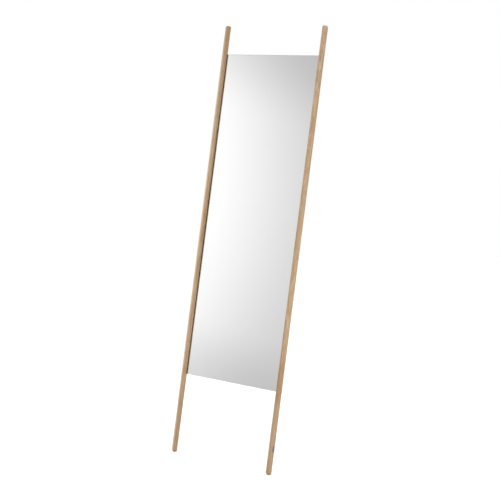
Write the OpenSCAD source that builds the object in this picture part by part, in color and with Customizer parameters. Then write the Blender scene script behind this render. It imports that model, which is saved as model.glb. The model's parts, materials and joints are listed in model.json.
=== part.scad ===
// Leaning floor mirror
//
// Two round oak poles stand on the floor, lean on a wall and carry a frameless mirror
// between them. A stepped rabbet in the back of each pole takes the glass and, behind
// it, the backing board that ties the poles together.
//
// Millimetres, +Z up. The mirror is modelled as it stands in use: the floor is z = 0,
// the glass faces -Y and the wall is on the +Y side. The origin is the centre of the
// rectangle that the mirror covers on the floor.
//
// Every sub-part is drawn upright first, in the frame of the poles: x across, y backward
// from the poles' centre plane, z up the poles from their feet. leaning() then sets it
// at its angle. Inside at_pole() x points from the pole towards the middle of the mirror.

/* [Stance] */
// Angle between the poles and the vertical, in degrees
lean = 12.5; // [8:0.5:16]
// Gap between the wood and the floor, which the foot pads fill
floor_gap = 0.8; // [0.5:0.1:3]
// Gap between the wood and the wall, which the wall bumpers fill
wall_gap = 0.8; // [0.5:0.1:3]

/* [Poles] */
// Length of a pole
pole_length = 1950; // [1750:10:2100]
// Diameter of a pole
pole_d = 25; // [24:0.5:32]
// Distance between the centre lines of the two poles
pole_spacing = 522; // [420:1:700]
// Rounding radius of the top end of a pole
top_round = 7; // [4:0.5:8]
// Rounding radius of the foot of a pole
foot_round = 8; // [4:0.5:8]

/* [Glass] */
// Height of the glass, along the poles
glass_h = 1465; // [1200:5:1500]
// Thickness of the glass
glass_t = 4; // [3:0.5:5]
// Length of pole left free above the glass
top_free = 130; // [100:5:200]
// Distance from a pole's centre line to the edge of the glass
glass_inset = 6.5; // [6:0.5:8]
// Width of the ground and polished arris round the glass
arris = 0.6; // [0.3:0.1:1]

/* [Layers behind the glass] */
// Thickness of the silver, copper and paint coats together
silvering_t = 0.1; // [0.1:0.05:0.2]
// Thickness of the film that holds the glass together if it breaks
film_t = 0.2; // [0.1:0.05:0.3]
// Thickness of the double-sided mounting tape
tape_t = 0.7; // [0.5:0.1:1]
// Width of one strip of mounting tape
tape_w = 25; // [15:1:40]
// Number of strips of mounting tape
tape_count = 4; // [2:1:6]
// Thickness of the backing board
board_t = 6; // [4:0.5:6.5]
// Distance that the board reaches past a pole's centre line
board_reach = 2.5; // [1:0.5:3]
// Thickness of the cushion strip between the glass and the wood
cushion_t = 0.5; // [0.3:0.1:0.8]

/* [Screws] */
// Number of board screws in each pole
screw_count = 7; // [4:1:12]
// Shank diameter of a screw
screw_d = 3.5; // [3:0.5:4]
// Head diameter of a screw
screw_head_d = 7; // [6:0.5:7]
// Length of a board screw
screw_length = 16; // [14:1:20]

/* [Rubber feet and wall bumpers] */
// Diameter of a foot pad
foot_pad_d = 10; // [8:1:16]
// Diameter of a wall bumper
bumper_d = 8; // [6:0.5:10]
// Distance from the top of a pole down to the bumper's centre
bumper_drop = 18; // [16:1:40]

/* [Wall safety brackets] */
// Thickness of the steel
bracket_t = 1.5; // [1:0.1:1.6]
// Length of the steel strip
bracket_length = 60; // [56:1:80]
// Gap between the board and the raised end that holds the eye
eye_rise = 2; // [1.5:0.1:2.4]
// Diameter of the eye for a wall tie or cord
eye_d = 6; // [4:0.5:7]

/* [Badge] */
// Height of the blank badge let into the right pole
badge_h = 28; // [20:1:40]
// Width of the badge
badge_w = 16; // [10:1:18]
// Distance from the foot of the pole up to the badge's centre
badge_rise = 110; // [60:1:300]

/* [Hidden] */
$fn = 96;

left = -1;
right = 1;
over = 1; // how far a cutting shape runs past the face that it cuts

pole_r = pole_d / 2;
glass_top = pole_length - top_free;
glass_bottom = glass_top - glass_h;
glass_middle = glass_bottom + glass_h / 2;
glass_w = pole_spacing - 2 * glass_inset;

// The layers, each named for its front face, counted backward from the centre plane.
// The board's back is flush with the back of the poles.
board_back = pole_r;
board_front = board_back - board_t;
tape_front = board_front - tape_t;
film_front = tape_front - film_t;
silvering_front = film_front - silvering_t;
glass_front = silvering_front - glass_t;
shoulder = glass_front - cushion_t;

// Rabbet: a deep step for the glass and a wider, shallower one for the board.
side_gap = 0.5;
glass_step_x = glass_inset - side_gap;
board_step_x = -board_reach - side_gap;
setting_pad_t = 1.5;
top_gap = 1;
board_short = 1; // the board ends this far inside the glass at the top and the bottom
board_w = pole_spacing + 2 * board_reach;
board_h = glass_h - 2 * board_short;

cushion_w = 4;
cushion_set_back = 0.5;
silvering_margin = 1;
film_margin = 3;
tape_margin = 30;

screw_x = (glass_step_x + board_step_x) / 2;
screw_end_margin = 40;
screw_pitch = (board_h - 2 * screw_end_margin) / (screw_count - 1);
screw_hole_d = screw_d + 0.5;
cross_depth = 1.4;
cross_w = 0.9;
cross_length = 4;

foot_bore_depth = 4;
pad_reach = 8; // longer than the pad stands out at any lean; the floor trims it
bumper_bore_depth = 6;
bumper_reach = 16;

bracket_w = 11;
bracket_end_r = 5;
bracket_flat = 40; // length of the part that lies on the board
bracket_ramp = 4; // length of the step up to the raised end
bracket_screw_pitch = 26;
bracket_screw_length = screw_length + 4;
eye_end_margin = 7; // from the eye's centre to the end of the strip
// The bracket sits midway between the two highest board screws.
bracket_z = glass_top - board_short - screw_end_margin - screw_pitch / 2;
bracket_bottom = bracket_z - bracket_length / 2;
eye_z = bracket_bottom + bracket_length - eye_end_margin;

badge_t = 0.8;

// How far the wood reaches below the centre of a pole's foot, forward of it, and
// backward to the wall at the top, once the pole leans.
wood_drop = foot_round + (pole_r - foot_round) * sin(lean) - foot_round * cos(lean);
wood_front = foot_round + (pole_r - foot_round) * cos(lean) - foot_round * sin(lean);
wood_back = top_round + (pole_r - top_round) * cos(lean)
    + (pole_length - top_round) * sin(lean);
wall = wood_back + wall_gap;
stance_y = (wood_front - wall) / 2;
stance_z = wood_drop + floor_gap;
big = 3 * pole_length;

oak = [0.80, 0.66, 0.50];
rubber = [0.62, 0.52, 0.40];

// --- placing -----------------------------------------------------------------------

module leaning() {
    translate([0, stance_y, stance_z])
        rotate([-lean, 0, 0])
            children();
}

module at_pole(side) {
    translate([side * pole_spacing / 2, 0, 0])
        mirror([side == right ? 1 : 0, 0, 0])
            children();
}

module board_screw_places() {
    for (i = [0 : screw_count - 1])
        translate([
            screw_x, board_back,
            glass_bottom + board_short + screw_end_margin + i * screw_pitch
        ])
            children();
}

module bracket_screw_places() {
    for (end = [-1, 1])
        translate([
            screw_x, board_back + bracket_t,
            bracket_bottom + bracket_flat / 2 + end * bracket_screw_pitch / 2
        ])
            children();
}

// Everything between the floor and the wall, once the mirror leans.
module room() {
    translate([-big / 2, stance_y + wall - big, 0])
        cube(big);
}

// --- shapes used more than once ----------------------------------------------------

// A box from its low corner to its high corner.
module box(low, high) {
    translate(low)
        cube(high - low);
}

// A layer centred across the mirror: width, front face, thickness, bottom and height.
module layer(w, front, t, bottom, h) {
    translate([-w / 2, front, bottom])
        cube([w, t, h]);
}

module rounded_rectangle(w, h, r) {
    square([w - 2 * r, h], center = true);
    square([w, h - 2 * r], center = true);
    for (x = [-1, 1], y = [-1, 1])
        translate([x * (w / 2 - r), y * (h / 2 - r)])
            circle(r);
}

module chamfered_rectangle(w, h, c) {
    x = w / 2;
    y = h / 2;
    polygon([
        [x - c, -y], [x, c - y], [x, y - c], [x - c, y],
        [c - x, y], [-x, y - c], [-x, c - y], [c - x, -y]
    ]);
}

// A countersunk wood screw: the top of its head is the plane y = 0 and it points to -y.
module screw(length) {
    head_h = (screw_head_d - screw_d) / 2;
    rotate([90, 0, 0])
        difference() {
            union() {
                cylinder(d1 = screw_head_d, d2 = screw_d, h = head_h);
                cylinder(d = screw_d, h = length - screw_d);
                translate([0, 0, length - screw_d])
                    cylinder(d1 = screw_d, d2 = screw_d / 4, h = screw_d);
            }
            for (turn = [45, 135])
                rotate([0, 0, turn])
                    cube([cross_length, cross_w, 2 * cross_depth], center = true);
        }
}

// The hole that a screw needs in the wood: its own pointed shape without the cross.
module pilot_hole(length) {
    rotate([90, 0, 0]) {
        cylinder(d = screw_d, h = length - screw_d);
        translate([0, 0, length - screw_d])
            cylinder(d1 = screw_d, d2 = screw_d / 4, h = screw_d);
    }
}

// A clearance hole right through a sheet of thickness t, countersunk for the head.
module countersunk_hole(t) {
    head_h = (screw_head_d - screw_d) / 2;
    rotate([90, 0, 0]) {
        cylinder(d1 = screw_head_d, d2 = screw_d, h = head_h);
        translate([0, 0, head_h / 2])
            cylinder(d = screw_hole_d, h = t + over);
    }
}

// --- poles -------------------------------------------------------------------------

module pole_profile() {
    intersection() {
        union() {
            translate([0, foot_round])
                square([pole_r, pole_length - foot_round - top_round]);
            square([pole_r - foot_round, foot_round]);
            translate([pole_r - foot_round, foot_round])
                circle(foot_round);
            translate([0, pole_length - top_round])
                square([pole_r - top_round, top_round]);
            translate([pole_r - top_round, pole_length - top_round])
                circle(top_round);
        }
        square([pole_r, pole_length]);
    }
}

module rabbet() {
    box(
        [glass_step_x, shoulder, glass_bottom - setting_pad_t],
        [pole_r + over, board_front + over, glass_top + top_gap]
    );
    box(
        [board_step_x, board_front, glass_bottom + board_short - side_gap],
        [pole_r + over, pole_r + over, glass_top - board_short + side_gap]
    );
}

// The block with round ends that the badge and its recess share, on the outer side.
module badge_outline() {
    translate([-pole_r / 2, 0, badge_rise])
        rotate([0, -90, 0])
            linear_extrude(pole_r) {
                square([badge_h - badge_w, badge_w], center = true);
                for (end = [-1, 1])
                    translate([end * (badge_h - badge_w) / 2, 0])
                        circle(d = badge_w);
            }
}

module pole(side) {
    color(oak)
        leaning() at_pole(side)
            difference() {
                rotate_extrude() pole_profile();
                rabbet();
                board_screw_places() pilot_hole(screw_length);
                bracket_screw_places() pilot_hole(bracket_screw_length);
                translate([0, 0, -over])
                    cylinder(d = foot_pad_d, h = foot_bore_depth + over);
                translate([0, pole_r + over, pole_length - bumper_drop])
                    rotate([90, 0, 0])
                        cylinder(d = bumper_d, h = bumper_bore_depth + over);
                if (side == right)
                    difference() {
                        badge_outline();
                        cylinder(r = pole_r - badge_t, h = pole_length);
                    }
            }
}

// --- mirror and what is behind it --------------------------------------------------

module mirror_glass() {
    color([0.86, 0.90, 0.89])
        leaning()
            translate([0, glass_front + glass_t / 2, glass_middle])
                intersection() {
                    translate([0, 0, -glass_h / 2])
                        linear_extrude(glass_h)
                            chamfered_rectangle(glass_w, glass_t, arris);
                    rotate([90, 0, 90])
                        linear_extrude(glass_w, center = true)
                            chamfered_rectangle(glass_t, glass_h, arris);
                }
}

module silvering() {
    color([0.75, 0.76, 0.78])
        leaning()
            layer(
                glass_w - 2 * silvering_margin, silvering_front, silvering_t,
                glass_bottom + silvering_margin, glass_h - 2 * silvering_margin
            );
}

module safety_film() {
    color([0.90, 0.92, 0.95])
        leaning()
            layer(
                glass_w - 2 * film_margin, film_front, film_t,
                glass_bottom + film_margin, glass_h - 2 * film_margin
            );
}

module mounting_tapes() {
    pitch = glass_w / tape_count;
    color([0.93, 0.93, 0.90])
        leaning()
            for (i = [0 : tape_count - 1])
                translate([(i - (tape_count - 1) / 2) * pitch, 0, 0])
                    layer(
                        tape_w, tape_front, tape_t,
                        glass_bottom + tape_margin, glass_h - 2 * tape_margin
                    );
}

module backing_board() {
    color([0.13, 0.13, 0.14])
        leaning()
            difference() {
                layer(board_w, board_front, board_t, glass_bottom + board_short, board_h);
                for (side = [left, right])
                    at_pole(side) {
                        board_screw_places() countersunk_hole(board_t);
                        bracket_screw_places()
                            translate([0, -bracket_t + over, 0])
                                rotate([90, 0, 0])
                                    cylinder(d = screw_hole_d, h = board_t + 2 * over);
                    }
            }
}

// Felt strip between the wood's shoulder and the front of the glass, out of sight.
module glass_cushion(side) {
    color([0.16, 0.15, 0.14])
        leaning() at_pole(side)
            box(
                [glass_inset + cushion_set_back, shoulder, glass_bottom + board_short],
                [
                    glass_inset + cushion_set_back + cushion_w, glass_front,
                    glass_top - board_short
                ]
            );
}

// The two small blocks that carry the weight of the glass in the ends of the rabbets.
module setting_pads() {
    color([0.15, 0.15, 0.15])
        leaning()
            for (side = [left, right])
                at_pole(side)
                    box(
                        [glass_inset, glass_front, glass_bottom - setting_pad_t],
                        [glass_inset + cushion_w, silvering_front, glass_bottom]
                    );
}

// --- screws ------------------------------------------------------------------------

module board_screws(side) {
    color("silver")
        leaning() at_pole(side)
            board_screw_places() screw(screw_length);
}

module bracket_screws(side) {
    color("silver")
        leaning() at_pole(side)
            bracket_screw_places() screw(bracket_screw_length);
}

// --- rubber ------------------------------------------------------------------------

// A plug in the end of the pole, trimmed flat along the floor.
module foot_pad(side) {
    color(rubber)
        intersection() {
            leaning() at_pole(side)
                translate([0, 0, -pad_reach])
                    cylinder(d = foot_pad_d, h = foot_bore_depth + pad_reach);
            room();
        }
}

// A plug in the back of the pole near its top, trimmed flat along the wall.
module wall_bumper(side) {
    color(rubber)
        intersection() {
            leaning() at_pole(side)
                translate([0, pole_r + bumper_reach, pole_length - bumper_drop])
                    rotate([90, 0, 0])
                        cylinder(d = bumper_d, h = bumper_bore_depth + bumper_reach);
            room();
        }
}

// --- wall safety bracket -----------------------------------------------------------

// A steel strip screwed through the board into the pole. Its upper end is stepped away
// from the board, so that a tie or a cord from the wall goes through the eye in it.
module safety_bracket(side) {
    color([0.72, 0.73, 0.75])
        leaning() at_pole(side)
            difference() {
                intersection() {
                    translate([screw_x - bracket_w / 2, board_back, bracket_bottom])
                        rotate([90, 0, 90])
                            linear_extrude(bracket_w)
                                stepped_strip();
                    translate([screw_x, board_back + eye_rise + bracket_t + over, bracket_z])
                        rotate([90, 0, 0])
                            linear_extrude(eye_rise + bracket_t + 2 * over)
                                rounded_rectangle(bracket_w, bracket_length, bracket_end_r);
                }
                bracket_screw_places() countersunk_hole(bracket_t);
                translate([screw_x, board_back, eye_z])
                    rotate([-90, 0, 0])
                        cylinder(d = eye_d, h = eye_rise + bracket_t + over);
            }
}

// The strip seen from its edge: out from the board along x, along the pole along y.
module stepped_strip() {
    raised_from = bracket_flat + bracket_ramp;
    polygon([
        [0, 0], [bracket_t, 0], [bracket_t, bracket_flat],
        [bracket_t + eye_rise, raised_from], [bracket_t + eye_rise, bracket_length],
        [eye_rise, bracket_length], [eye_rise, raised_from], [0, bracket_flat]
    ]);
}

// --- badge -------------------------------------------------------------------------

// A blank metal badge let flush into the outer side of the right pole.
module badge() {
    color([0.34, 0.38, 0.42])
        leaning() at_pole(right)
            intersection() {
                badge_outline();
                difference() {
                    cylinder(r = pole_r, h = pole_length);
                    translate([0, 0, -over])
                        cylinder(r = pole_r - badge_t, h = pole_length + 2 * over);
                }
            }
}

pole(left);  // left_pole
pole(right);  // right_pole
mirror_glass();
silvering();
safety_film();
mounting_tapes();
backing_board();
glass_cushion(left);  // left_glass_cushion
glass_cushion(right);  // right_glass_cushion
setting_pads();
board_screws(left);  // left_board_screws
board_screws(right);  // right_board_screws
foot_pad(left);  // left_foot_pad
foot_pad(right);  // right_foot_pad
wall_bumper(left);  // left_wall_bumper
wall_bumper(right);  // right_wall_bumper
safety_bracket(left);  // left_safety_bracket
safety_bracket(right);  // right_safety_bracket
bracket_screws(left);  // left_bracket_screws
bracket_screws(right);  // right_bracket_screws
badge();
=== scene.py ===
"""Leaning floor mirror: two round oak poles with a frameless mirror held between them.

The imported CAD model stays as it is. This script gives every node a procedural material,
replaces the plain glass with a silvered one, and adds the stage, the light and the camera.
"""

import json
import math

import bmesh
import bpy
from mathutils import Matrix, Vector


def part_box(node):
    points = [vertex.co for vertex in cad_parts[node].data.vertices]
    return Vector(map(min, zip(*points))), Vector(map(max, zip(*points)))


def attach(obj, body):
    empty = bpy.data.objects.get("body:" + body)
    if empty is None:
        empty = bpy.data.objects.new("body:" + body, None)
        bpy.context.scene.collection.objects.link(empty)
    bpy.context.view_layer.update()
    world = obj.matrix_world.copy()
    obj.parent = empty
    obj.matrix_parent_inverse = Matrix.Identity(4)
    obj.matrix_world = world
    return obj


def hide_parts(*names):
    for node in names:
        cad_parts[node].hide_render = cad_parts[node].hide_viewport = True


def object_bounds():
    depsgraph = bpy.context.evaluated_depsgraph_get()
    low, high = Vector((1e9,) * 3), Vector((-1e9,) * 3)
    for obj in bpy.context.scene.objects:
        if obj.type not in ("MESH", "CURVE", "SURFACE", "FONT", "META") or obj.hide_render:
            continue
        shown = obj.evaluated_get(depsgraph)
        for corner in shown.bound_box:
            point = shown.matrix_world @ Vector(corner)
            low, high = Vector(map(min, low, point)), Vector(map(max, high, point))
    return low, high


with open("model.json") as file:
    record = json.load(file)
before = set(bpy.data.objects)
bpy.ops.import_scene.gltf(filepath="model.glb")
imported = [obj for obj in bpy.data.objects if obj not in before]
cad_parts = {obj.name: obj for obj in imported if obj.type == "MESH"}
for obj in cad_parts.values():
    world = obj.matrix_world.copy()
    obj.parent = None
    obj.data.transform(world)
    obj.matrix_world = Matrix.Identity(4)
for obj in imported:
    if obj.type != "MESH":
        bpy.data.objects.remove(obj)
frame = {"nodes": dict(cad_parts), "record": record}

CAD_LOW, CAD_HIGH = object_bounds()
NODES = frame["nodes"]
SCENE = bpy.context.scene
BODY = "root"
MM = 0.001


# --- the frame that the sub-parts share -----------------------------------------------

def mount(name):
    """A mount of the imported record."""
    return next(m for m in frame["record"]["mounts"] if m["name"] == name)


# The safety eyes point straight out of the back of the mirror, so their axis gives its lean.
EYE_AXIS = Vector(mount("left_safety_eye")["axis"])
LEAN = math.atan2(-EYE_AXIS.z, EYE_AXIS.y)

# Upright frame: x across, y backward, z along the poles. LEANING takes it to the row frame.
UPRIGHT = Matrix.Rotation(LEAN, 4, "X")
LEANING = UPRIGHT.inverted()


def upright_box(node):
    """The lowest and highest corners of a CAD node in the upright frame."""
    points = [UPRIGHT @ v.co for v in NODES[node].data.vertices]
    low = Vector(min(p[i] for p in points) for i in range(3))
    high = Vector(max(p[i] for p in points) for i in range(3))
    return low, high


def linked_piece(name, form):
    """A mesh object in the scene with the given form, which is used up."""
    mesh = bpy.data.meshes.new(name)
    form.to_mesh(mesh)
    form.free()
    piece = bpy.data.objects.new(name, mesh)
    SCENE.collection.objects.link(piece)
    return piece


# --- short ways to write node trees ---------------------------------------------------

class Tree:
    """Adds nodes to a tree. An input is a number, a tuple or the output of another node."""

    def __init__(self, tree):
        self.nodes = tree.nodes
        self.links = tree.links

    def feed(self, socket, value):
        if isinstance(value, bpy.types.NodeSocket):
            self.links.new(value, socket)
        else:
            socket.default_value = value

    def add(self, kind, inputs=None, output=0, **settings):
        node = self.nodes.new(kind)
        for name, value in settings.items():
            setattr(node, name, value)
        for name, value in (inputs or {}).items():
            self.feed(node.inputs[name], value)
        return node.outputs[output]

    def math(self, operation, a, b=0.0, clamp=False):
        """One Math node. clamp keeps its result between 0 and 1."""
        return self.add("ShaderNodeMath", {0: a, 1: b}, operation=operation, use_clamp=clamp)

    def times_and_plus(self, a, b, c):
        return self.add("ShaderNodeMath", {0: a, 1: b, 2: c}, operation="MULTIPLY_ADD")

    def total(self, start, *parts):
        """The start value plus each part, which is an output times its strength."""
        result = start
        for value, strength in parts:
            result = self.times_and_plus(value, strength, result)
        return result

    def between(self, share, a, b):
        """The number a where share is 0 and b where it is 1."""
        return self.add("ShaderNodeMix", {0: share, 2: a, 3: b})

    def steps(self, value, low, high, to_low=0.0, to_high=1.0):
        """A smooth step from to_low at low to to_high at high."""
        return self.add(
            "ShaderNodeMapRange",
            {"Value": value, "From Min": low, "From Max": high, "To Min": to_low, "To Max": to_high},
            interpolation_type="SMOOTHSTEP",
        )

    def split(self, vector):
        node = self.nodes.new("ShaderNodeSeparateXYZ")
        self.feed(node.inputs[0], vector)
        return node.outputs

    def join(self, x, y, z):
        return self.add("ShaderNodeCombineXYZ", {0: x, 1: y, 2: z})

    def stretch(self, vector, size):
        """The vector in steps of the given size along each axis."""
        scale = tuple(1 / s for s in size)
        return self.add("ShaderNodeVectorMath", {0: vector, 1: scale}, operation="MULTIPLY")

    def noise(self, vector, detail=2.0, roughness=0.5, distortion=0.0):
        return self.add(
            "ShaderNodeTexNoise",
            {"Vector": vector, "Scale": 1.0, "Detail": detail, "Roughness": roughness,
             "Distortion": distortion},
        )

    def blend(self, share, a, b):
        """The colour a where share is 0 and b where it is 1."""
        node = self.nodes.new("ShaderNodeMix")
        node.data_type = "RGBA"
        self.feed(node.inputs[0], share)
        self.feed(node.inputs[6], a)
        self.feed(node.inputs[7], b)
        return node.outputs[2]

    def bump(self, height, strength, distance):
        return self.add(
            "ShaderNodeBump", {"Height": height, "Strength": strength, "Distance": distance}
        )

    def place(self):
        """Position in metres in the row frame."""
        return self.add("ShaderNodeTexCoord", output=3)

    def upright_place(self, shift=(0, 0, 0)):
        """Position in the upright frame, moved by shift."""
        turned = {"Vector": self.place(), "Rotation": (LEAN, 0, 0), "Location": shift}
        return self.add("ShaderNodeMapping", turned)


def colour(r, g, b):
    return (r, g, b, 1.0)


def new_material(name, **sockets):
    """A Principled material with the given fixed values, its node tree and its shader."""
    material = bpy.data.materials.new(name)
    material.use_nodes = True
    shader = material.node_tree.nodes["Principled BSDF"]
    for socket, value in sockets.items():
        shader.inputs[socket.replace("_", " ")].default_value = value
    return material, Tree(material.node_tree), shader


def grainy_material(name, size, detail, colours, roughness, relief, **sockets):
    """A material with one grain in its colour, its roughness and its surface.

    size is the grain's size along each axis. colours are the two that it runs between.
    roughness is the least value and what the grain adds. relief is the strength of the
    surface grain and its depth.
    """
    material, tree, shader = new_material(name, **sockets)
    grain = tree.noise(tree.stretch(tree.place(), size), detail=detail)
    tree.feed(shader.inputs["Base Color"], tree.blend(grain, *colours))
    tree.feed(shader.inputs["Roughness"], tree.total(roughness[0], (grain, roughness[1])))
    tree.feed(shader.inputs["Normal"], tree.bump(grain, *relief))
    return material


# --- oak ------------------------------------------------------------------------------

RING_WIDTH = 3.2 * MM

# Colours of the wood and of what shows in it.
PALE_OAK = colour(0.60, 0.42, 0.265)
DEEP_OAK = colour(0.39, 0.245, 0.130)
# Painted light: a pale sapwood tone laid on the side of a pole where the light falls.
PALE_LIT_SIDE = colour(0.77, 0.65, 0.51)
DARK_BAND = colour(0.34, 0.17, 0.08)
RAY = colour(0.64, 0.47, 0.31)
PORE = colour(0.23, 0.135, 0.072)


def oak_grain(tree, along, pith, seed):
    """Coordinates that follow the grain, and the distance from the pith.

    The coordinates are the way round the pith, out from it, and along the pole.
    """
    sway = 16 * MM  # the grain wanders to and fro across this width
    x, y, z = tree.split(along)
    wander_x = tree.noise(tree.join(seed, seed, tree.math("MULTIPLY", z, 2.2)), detail=1.0)
    wander_y = tree.noise(tree.join(seed + 7, seed, tree.math("MULTIPLY", z, 1.7)), detail=1.0)
    from_x = tree.math("SUBTRACT", tree.times_and_plus(wander_x, sway, x), pith[0] + sway / 2)
    from_y = tree.math("SUBTRACT", tree.times_and_plus(wander_y, sway, y), pith[1] + sway / 2)
    squares = tree.times_and_plus(from_x, from_x, tree.math("MULTIPLY", from_y, from_y))
    radius = tree.math("SQRT", squares)
    turn = tree.math("ARCTAN2", from_y, from_x)
    round_way = tree.math("MULTIPLY", turn, math.hypot(*pith))
    return tree.join(round_way, radius, z), radius


def growth_rings(tree, along, radius):
    """Where a year's growth has open-pored early wood, and where dense late wood."""
    unevenness = tree.noise(tree.stretch(along, (0.020, 0.020, 0.5)), detail=2.0)
    rings = tree.times_and_plus(unevenness, 1.6, tree.math("DIVIDE", radius, RING_WIDTH))
    phase = tree.math("FRACT", rings)
    early = tree.math("MULTIPLY", tree.steps(phase, 0.0, 0.10), tree.steps(phase, 0.45, 0.30))
    late = tree.steps(phase, 0.35, 0.98)
    return early, late


def painted_light_share(tree, along, towards, clouds):
    """How much painted light turns the wood pale in a sapwood tone, more and more towards the lit
    side across it.
    """
    x, y, z = tree.split(along)
    aside = tree.total(-0.2, (x, towards[0]), (y, towards[1]), (clouds, 0.4))
    return tree.math("MULTIPLY", tree.steps(aside, 0.1, 1.0), 0.85)


def oak(
    name, pole, pith, seed, lit_side, figured, shade, top_shade=0.0, band_shade=0.0, foot_shade=0.0
):
    """Oak cut from a log whose pith runs beside the pole, so growth rings cross it.

    pith is the pith's place beside the pole's centre line, x and y in metres. seed gives
    the pole a grain of its own. The pale-side direction points across the pole to the side
    where the light falls; painted light turns that side pale in a sapwood tone, and the
    longer the direction, the paler that side. figured is the strength of the irregular figure.
    shade darkens the whole pole, top_shade and foot_shade its ends, and band_shade a
    stretch some way above the foot.
    """
    low, high = upright_box(pole)
    centre = (low + high) / 2
    pole_radius = (high.x - low.x) / 2
    half = (high.z - low.z) / 2
    material, tree, shader = new_material(name, IOR=1.5, Specular_IOR_Level=0.35)
    along = tree.upright_place(Vector((0, 0, seed)) - centre)
    grain, radius = oak_grain(tree, along, pith, seed)
    early, late = growth_rings(tree, along, radius)

    # Pores: fine dark dashes along the grain, most of them in the early wood.
    pore_noise = tree.noise(tree.stretch(grain, (0.28 * MM, 0.28 * MM, 5 * MM)), detail=1.0)
    pores = tree.math(
        "MULTIPLY", tree.steps(pore_noise, 0.56, 0.68), tree.total(0.2, (early, 0.8))
    )
    # Rays: thin sheets that run outward from the pith and show as flecks.
    ray_noise = tree.noise(tree.stretch(grain, (0.35 * MM, 9 * MM, 9 * MM)), detail=1.0)
    rays = tree.steps(ray_noise, 0.62, 0.70)
    # Unevenness at three scales.
    fibres = tree.noise(tree.stretch(along, (0.5 * MM, 0.5 * MM, 60 * MM)), detail=3.0)
    figure = tree.noise(
        tree.stretch(along, (7 * MM, 7 * MM, 40 * MM)), detail=2.0, distortion=0.6
    )
    clouds = tree.noise(tree.stretch(along, (0.03, 0.03, 0.35)), detail=2.0)

    # Shades that depend on the height up the pole, given in halves of its length.
    up = tree.math("SUBTRACT", tree.split(along)[2], seed)
    top = tree.steps(up, half * 0.78, half * 0.94, 0.0, top_shade)
    foot = tree.steps(up, half * -0.40, half * -0.80, 0.0, foot_shade)
    from_band = tree.math("ABSOLUTE", tree.math("ADD", up, half * 0.60))
    band = tree.steps(from_band, half * 0.17, half * 0.02, 0.0, band_shade)

    # Each noise is a half on average, so half of its strength comes off the shade again.
    uneven = ((fibres, 0.95), (figure, 0.9 * figured), (clouds, 1.2))
    average = sum(strength for _, strength in uneven) / 2
    tone = tree.total(shade - average, (top, 1), (foot, 1), (late, 0.62), (early, 0.40), *uneven)

    towards = [part / pole_radius for part in lit_side]
    wood = tree.blend(tree.math("ADD", tone, 0.0, clamp=True), PALE_OAK, DEEP_OAK)
    # Painted light: the pole's lit side turned pale in a sapwood tone.
    wood = tree.blend(painted_light_share(tree, along, towards, clouds), wood, PALE_LIT_SIDE)
    wood = tree.blend(band, wood, DARK_BAND)
    wood = tree.blend(tree.math("MULTIPLY", rays, 0.45), wood, RAY)
    wood = tree.blend(tree.math("MULTIPLY", pores, 0.85), wood, PORE)
    tree.feed(shader.inputs["Base Color"], wood)

    rough = tree.total(0.56, (late, -0.10), (rays, -0.10), (pores, 0.22))
    tree.feed(shader.inputs["Roughness"], rough)
    height = tree.total(0.0, (late, 0.25), (fibres, 0.35), (pores, -1.0))
    tree.feed(shader.inputs["Normal"], tree.bump(height, 0.45, 0.12 * MM))
    return material


# --- glass ----------------------------------------------------------------------------

def clear_glass():
    """Float glass, faintly green and a little uneven."""
    material, tree, shader = new_material(
        "float_glass", IOR=1.52, Transmission_Weight=1.0, Roughness=0.0
    )
    drift = tree.noise(tree.stretch(tree.place(), (0.4, 0.4, 0.4)), detail=1.0)
    tint = tree.blend(drift, colour(0.985, 0.990, 0.986), colour(0.990, 0.995, 0.992))
    tree.feed(shader.inputs["Base Color"], tint)
    return material


def ground_edge():
    """The ground and polished rim of the glass, a deeper green."""
    material, tree, shader = new_material("glass_edge", IOR=1.52, Transmission_Weight=0.85)
    marks = tree.noise(tree.stretch(tree.place(), (0.6 * MM, 0.3 * MM, 0.6 * MM)), detail=2.0)
    tint = tree.blend(marks, colour(0.62, 0.76, 0.71), colour(0.70, 0.82, 0.77))
    tree.feed(shader.inputs["Base Color"], tint)
    tree.feed(shader.inputs["Roughness"], tree.total(0.12, (marks, 0.25)))
    return material


def silver():
    """The silver coat seen through the glass."""
    material, tree, shader = new_material("silver_coat", Metallic=1.0, Roughness=0.0)
    drift = tree.noise(tree.stretch(tree.place(), (0.5, 0.5, 0.5)), detail=1.0)
    tint = tree.blend(drift, colour(0.965, 0.965, 0.962), colour(0.975, 0.975, 0.972))
    tree.feed(shader.inputs["Base Color"], tint)
    return material


def slab(name, low, high, arris):
    """A closed slab in the upright frame with a rounded arris of the given width."""
    form = bmesh.new()
    bmesh.ops.create_cube(form, size=1.0)
    bmesh.ops.scale(form, vec=high - low, verts=form.verts)
    bmesh.ops.translate(form, vec=(low + high) / 2, verts=form.verts)
    bmesh.ops.bevel(
        form, geom=form.edges[:], offset=arris, segments=3, profile=0.5, affect="EDGES"
    )
    form.transform(LEANING)
    return linked_piece(name, form)


def make_glass():
    """One closed sheet: glass in front, a ground rim, and the silver coat on its back face."""
    gap = 0.02 * MM  # between the sheet and the CAD coat behind it
    low, high = upright_box("mirror_glass")
    high.y -= gap
    glass = slab("silvered_glass", low, high, arris=0.6 * MM)
    for material in (clear_glass(), ground_edge(), silver()):
        glass.data.materials.append(material)
    in_front, rim, behind = 0, 1, 2
    flat = 0.999  # the cosine that tells the two flat faces from the rim
    forward = LEANING.to_3x3() @ Vector((0, -1, 0))
    for face in glass.data.polygons:
        facing = face.normal.dot(forward)
        if facing > flat:
            face.material_index = in_front
        elif facing < -flat:
            face.material_index = behind
        else:
            face.material_index = rim
    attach(glass, BODY)
    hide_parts("mirror_glass")


# --- the other materials --------------------------------------------------------------

def grey_paint():
    """The paint that protects the silver coat from behind."""
    return grainy_material(
        "mirror_back_paint", (3 * MM, 3 * MM, 3 * MM), 4.0,
        colours=(colour(0.20, 0.22, 0.23), colour(0.26, 0.28, 0.29)),
        roughness=(0.40, 0.15), relief=(0.2, 0.05 * MM),
    )


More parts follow.
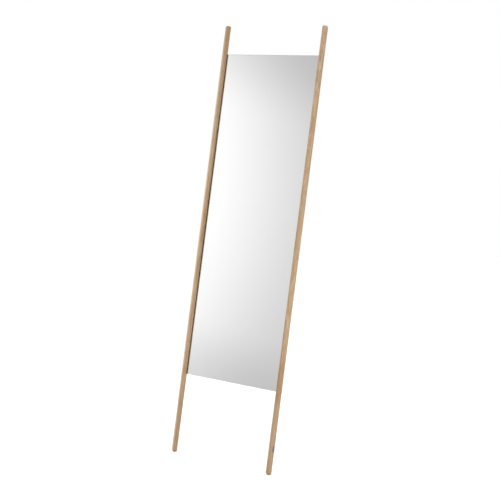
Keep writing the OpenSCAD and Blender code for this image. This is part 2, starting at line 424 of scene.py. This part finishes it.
def film():
    """Bluish plastic film with faint wrinkles."""
    return grainy_material(
        "safety_film", (6 * MM, 6 * MM, 40 * MM), 3.0,
        colours=(colour(0.60, 0.68, 0.76), colour(0.70, 0.76, 0.82)),
        roughness=(0.25, 0.2), relief=(0.3, 0.1 * MM),
    )


def foam_tape():
    """Off-white foam with fine cells."""
    return grainy_material(
        "foam_tape", (0.4 * MM, 0.4 * MM, 0.4 * MM), 2.0,
        colours=(colour(0.66, 0.66, 0.61), colour(0.80, 0.80, 0.76)),
        roughness=(0.80, 0.1), relief=(0.5, 0.1 * MM),
    )


def felt():
    """Thin black felt with short hairs."""
    return grainy_material(
        "black_felt", (0.25 * MM, 0.25 * MM, 0.9 * MM), 3.0,
        colours=(colour(0.012, 0.011, 0.011), colour(0.045, 0.042, 0.039)),
        roughness=(0.88, 0.08), relief=(0.8, 0.15 * MM), Sheen_Weight=0.3,
    )


def board():
    """Fibreboard: a black pebbled face and brown sawn edges."""
    material, tree, shader = new_material("black_fibreboard", Specular_IOR_Level=0.28)
    at = tree.upright_place()
    pebble = tree.noise(tree.stretch(at, (0.7 * MM, 0.7 * MM, 0.7 * MM)), detail=3.0)
    broad = tree.noise(tree.stretch(at, (0.12, 0.12, 0.12)), detail=3.0)
    fibres = tree.noise(tree.stretch(at, (1.2 * MM, 0.15 * MM, 1.2 * MM)), detail=3.0)

    normal = tree.add("ShaderNodeNewGeometry", output=1)
    straight = tree.add(
        "ShaderNodeVectorMath",
        {0: normal, 1: tuple(EYE_AXIS)},
        output="Value", operation="DOT_PRODUCT",
    )
    face = tree.steps(tree.math("ABSOLUTE", straight), 0.55, 0.85)
    black = tree.blend(broad, colour(0.020, 0.020, 0.021), colour(0.032, 0.031, 0.031))
    black = tree.blend(tree.steps(pebble, 0.45, 0.75), black, colour(0.050, 0.049, 0.049))
    brown = tree.blend(fibres, colour(0.17, 0.105, 0.06), colour(0.29, 0.19, 0.115))
    tree.feed(shader.inputs["Base Color"], tree.blend(face, brown, black))
    rough_face = tree.total(0.30, (broad, 0.2), (pebble, 0.25))
    rough_edge = tree.total(0.9, (face, -0.9))
    tree.feed(shader.inputs["Roughness"], tree.math("MAXIMUM", rough_face, rough_edge))
    height = tree.times_and_plus(face, pebble, tree.math("MULTIPLY", fibres, 0.3))
    tree.feed(shader.inputs["Normal"], tree.bump(height, 0.35, 0.12 * MM))
    return material


def rubber(name, dark, light):
    """Matt rubber with a little dust on it."""
    material, tree, shader = new_material(name, Specular_IOR_Level=0.35)
    grain = tree.noise(tree.stretch(tree.place(), (0.35 * MM, 0.35 * MM, 0.35 * MM)), detail=3.0)
    dust = tree.noise(tree.stretch(tree.place(), (4 * MM, 4 * MM, 4 * MM)), detail=3.0)
    body = tree.blend(grain, dark, light)
    dusty = tree.blend(tree.steps(dust, 0.5, 0.8, 0.0, 0.25), body, colour(0.55, 0.52, 0.48))
    tree.feed(shader.inputs["Base Color"], dusty)
    tree.feed(shader.inputs["Roughness"], tree.total(0.62, (grain, 0.15)))
    tree.feed(shader.inputs["Normal"], tree.bump(grain, 0.4, 0.08 * MM))
    return material


def plated_steel(name, tint, streak):
    """Zinc-plated steel: fine streaks of the given size, dull stains and a faint spangle."""
    dulled = 0.72  # what the stains leave of the tint
    material, tree, shader = new_material(name, Metallic=1.0)
    streaks = tree.noise(tree.stretch(tree.place(), streak), detail=3.0)
    spangle = tree.noise(tree.stretch(tree.place(), (1.6 * MM, 1.6 * MM, 1.6 * MM)), detail=2.0)
    stains = tree.noise(tree.stretch(tree.place(), (9 * MM, 9 * MM, 9 * MM)), detail=3.0)
    dull = colour(*(part * dulled for part in tint[:3]))
    shade = tree.blend(tree.steps(stains, 0.35, 0.75), tint, dull)
    shade = tree.blend(tree.steps(spangle, 0.5, 0.7, 0.0, 0.3), shade, colour(0.68, 0.68, 0.65))
    tree.feed(shader.inputs["Base Color"], shade)
    rough = tree.total(0.16, (stains, 0.18), (streaks, 0.20))
    tree.feed(shader.inputs["Roughness"], rough)
    tree.feed(shader.inputs["Normal"], tree.bump(streaks, 0.25, 0.03 * MM))
    return material


def badge_metal():
    """Dark blue-grey anodised aluminium, brushed along the pole."""
    material, tree, shader = new_material("dark_anodised", Metallic=0.6)
    streak = (0.12 * MM, 0.12 * MM, 6 * MM)
    brushed = tree.noise(tree.stretch(tree.upright_place(), streak), detail=2.0)
    tint = tree.blend(brushed, colour(0.15, 0.17, 0.18), colour(0.23, 0.245, 0.25))
    tree.feed(shader.inputs["Base Color"], tint)
    tree.feed(shader.inputs["Roughness"], tree.total(0.30, (brushed, 0.2)))
    tree.feed(shader.inputs["Normal"], tree.bump(brushed, 0.2, 0.02 * MM))
    return material


def dress(nodes, material):
    """Gives CAD nodes a material."""
    for node in nodes:
        slots = NODES[node].data.materials
        slots.clear()
        slots.append(material)


def left_and_right(*kinds):
    """The names of the left and right nodes of each kind."""
    return [side + kind for side in ("left_", "right_") for kind in kinds]


def dress_all():
    # The pale side of each pole is painted light, aimed at where the lamps fall on it.
    left_oak = oak(
        "oak_left", "left_pole", pith=(0.050, -0.060), seed=3.0, lit_side=(-0.65, -0.45),
        figured=1.3, shade=0.295, top_shade=0.5, foot_shade=0.40,
    )
    right_oak = oak(
        "oak_right", "right_pole", pith=(-0.035, -0.075), seed=11.0, lit_side=(0.20, -0.18),
        figured=2.8, shade=0.425, top_shade=-0.20, band_shade=0.5, foot_shade=0.06,
    )
    black_rubber = rubber(
        "black_rubber", colour(0.012, 0.012, 0.012), colour(0.025, 0.025, 0.025)
    )
    tan_rubber = rubber("tan_rubber", colour(0.36, 0.26, 0.165), colour(0.45, 0.335, 0.22))
    screw_zinc = plated_steel(
        "screw_zinc", colour(0.56, 0.54, 0.47), (0.4 * MM, 0.4 * MM, 0.4 * MM)
    )
    sheet_zinc = plated_steel(
        "sheet_zinc", colour(0.47, 0.48, 0.50), (0.15 * MM, 0.15 * MM, 12 * MM)
    )
    dress(["left_pole"], left_oak)
    dress(["right_pole"], right_oak)
    dress(["silvering"], grey_paint())
    dress(["safety_film"], film())
    dress(["mounting_tapes"], foam_tape())
    dress(["backing_board"], board())
    dress(left_and_right("glass_cushion"), felt())
    dress(["setting_pads"], black_rubber)
    dress(left_and_right("foot_pad", "wall_bumper"), tan_rubber)
    dress(left_and_right("board_screws", "bracket_screws"), screw_zinc)
    dress(left_and_right("safety_bracket"), sheet_zinc)
    dress(["badge"], badge_metal())


# --- stage ----------------------------------------------------------------------------

def make_floor():
    """A round pale floor whose rim fades into the backdrop.

    Only the camera sees it that pale. In the mirror it is darker, so that the glass stands
    out in views from above.
    """
    radius, fade_from = 6.0, 3.0
    form = bmesh.new()
    bmesh.ops.create_circle(form, cap_ends=True, segments=96, radius=radius)
    floor = linked_piece("floor", form)

    material, tree, shader = new_material("pale_floor", Roughness=0.9, Specular_IOR_Level=0.0)
    output = material.node_tree.nodes["Material Output"]
    grain = tree.noise(tree.stretch(tree.place(), (4 * MM, 4 * MM, 4 * MM)), detail=3.0)
    pale = tree.blend(grain, colour(0.88, 0.88, 0.88), colour(0.90, 0.90, 0.90))
    in_mirror = colour(0.70, 0.70, 0.70)
    seen_directly = tree.nodes.new("ShaderNodeLightPath").outputs["Is Camera Ray"]
    tree.feed(shader.inputs["Base Color"], tree.blend(seen_directly, in_mirror, pale))
    away = tree.add("ShaderNodeVectorMath", {0: tree.place()}, output="Value", operation="LENGTH")
    gone = tree.steps(away, fade_from, radius)
    clear = tree.add("ShaderNodeBsdfTransparent")
    faded = tree.add("ShaderNodeMixShader", {0: gone, 1: shader.outputs[0], 2: clear})
    tree.feed(output.inputs["Surface"], faded)
    floor.data.materials.append(material)


# The screens are places in the world's light, given by azimuth and elevation in degrees.
# Azimuth runs from straight in front of the mirror towards its left.

def left_screen(tree, azimuth, elevation):
    """Brightness of the white screen at the front left, which the viewing angle shows.

    All its edges are soft. The near one bulges at the height where the screen is brightest.
    """
    beside, added = 0.66, 0.46  # the brightness beside the screen, and what the screen adds
    bulge_height, bulge = 11.2, 0.039
    off_height = tree.math("SUBTRACT", elevation, bulge_height)
    off_squared = tree.math("MULTIPLY", off_height, off_height)
    straightened = tree.times_and_plus(off_squared, -bulge, azimuth)
    near_edge = tree.steps(straightened, low=31.4, high=40.1)
    far_edge = tree.steps(azimuth, low=68, high=44, to_low=0.2, to_high=1.0)
    foot = tree.steps(elevation, low=4.4, high=7.2, to_low=0.86, to_high=1.0)
    top = tree.steps(elevation, low=16.3, high=19.9, to_low=1.0, to_high=0.825)
    across = tree.total(beside, (tree.math("MULTIPLY", near_edge, far_edge), added))
    return tree.math("MULTIPLY", across, tree.math("MULTIPLY", foot, top))


def front_screen(tree, azimuth, elevation):
    """Brightness of a second, broader screen in front and to the right, for other views."""
    edge = tree.steps(azimuth, low=31, high=8, to_low=0.0, to_high=0.88)
    foot = tree.steps(elevation, low=6, high=24, to_low=0.55, to_high=1.0)
    top = tree.steps(elevation, low=26, high=40, to_low=1.0, to_high=0.60)
    return tree.math("MULTIPLY", edge, tree.math("MULTIPLY", foot, top))


def light_on_matt_surfaces(tree, x, z):
    """Light mostly from overhead, a little more from the right, and even from below."""
    around, from_right, from_above, from_below = 0.30, 0.12, 2.0, 1.05
    overhead = tree.math("MAXIMUM", z, 0.0)
    squared = tree.math("MULTIPLY", overhead, overhead)
    sky = tree.total(around, (x, from_right), (squared, from_above))
    below_horizon = tree.steps(z, 0.0, -0.02)
    return tree.between(below_horizon, sky, from_below)


def light_world():
    """A white backdrop for the camera, screens for the mirror, soft light for the rest."""
    world = bpy.data.worlds.new("studio")
    world.use_nodes = True
    SCENE.world = world
    tree = Tree(world.node_tree)
    background = world.node_tree.nodes["Background"]

    x, y, z = tree.split(tree.add("ShaderNodeTexCoord", output=0))
    leftward, forward = tree.math("MULTIPLY", x, -1), tree.math("MULTIPLY", y, -1)
    azimuth = tree.math("DEGREES", tree.math("ARCTAN2", leftward, forward))
    elevation = tree.math("DEGREES", tree.math("ARCSINE", z))
    screens = tree.math(
        "MAXIMUM",
        left_screen(tree, azimuth, elevation),
        front_screen(tree, azimuth, elevation),
    )
    backdrop = 1.0
    path = tree.nodes.new("ShaderNodeLightPath").outputs
    strength = tree.between(path["Is Diffuse Ray"], screens, light_on_matt_surfaces(tree, x, z))
    strength = tree.between(path["Is Camera Ray"], strength, backdrop)
    tree.feed(background.inputs["Strength"], strength)
    background.inputs["Color"].default_value = colour(1.0, 1.0, 1.0)
    # Light path inputs only tell the rays apart where the world isn't sampled as a lamp.
    world.cycles.sampling_method = "NONE"


def add_softbox(name, azimuth, elevation, distance, width, height, power):
    """A large soft lamp aimed at the mirror, and not seen in it."""
    target = (CAD_LOW + CAD_HIGH) / 2
    a, e = math.radians(azimuth), math.radians(elevation)
    away = Vector((-math.sin(a) * math.cos(e), -math.cos(a) * math.cos(e), math.sin(e)))
    data = bpy.data.lights.new(name, "AREA")
    data.shape = "RECTANGLE"
    data.size, data.size_y = width, height
    data.energy = power
    lamp = bpy.data.objects.new(name, data)
    SCENE.collection.objects.link(lamp)
    lamp.location = target + away * distance
    lamp.rotation_euler = (-away).to_track_quat("-Z", "Y").to_euler()
    lamp.visible_camera = False
    lamp.visible_glossy = False
    # The silver is seen through glass, so what it reflects is reached by transmission rays.
    lamp.visible_transmission = False


def add_lights():
    add_softbox("key", azimuth=80, elevation=2, distance=1.3, width=0.5, height=1.1, power=8)
    add_softbox("fill", azimuth=-65, elevation=2, distance=1.3, width=0.5, height=0.9, power=3.4)


# --- camera ---------------------------------------------------------------------------

def add_camera():
    """The viewing angle: from the mirror's right and a little above its middle.

    aside and raised move the camera across its own view, in metres.
    """
    azimuth, pitch = math.radians(35.73), math.radians(9.83)
    distance, lens = 5.488, 89.10
    aside, raised = 0.0094, -0.0279

    left_low, left_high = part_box("left_pole")
    right_low, right_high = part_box("right_pole")
    middle = (left_low + left_high + right_low + right_high) / 4
    right = Vector((math.cos(azimuth), math.sin(azimuth), 0))
    forward = Vector((
        -math.sin(azimuth) * math.cos(pitch),
        math.cos(azimuth) * math.cos(pitch),
        -math.sin(pitch),
    ))
    up = right.cross(forward)
    data = bpy.data.cameras.new("camera")
    data.lens = lens
    data.sensor_width = 36.0
    data.clip_start, data.clip_end = 0.1, 100.0
    camera = bpy.data.objects.new("camera", data)
    SCENE.collection.objects.link(camera)
    camera.location = middle + aside * right + raised * up - distance * forward
    camera.rotation_euler = (math.pi / 2 - pitch, 0, azimuth)
    SCENE.camera = camera


SCENE.view_settings.view_transform = "Standard"
make_glass()
dress_all()
make_floor()
light_world()
add_lights()
add_camera()
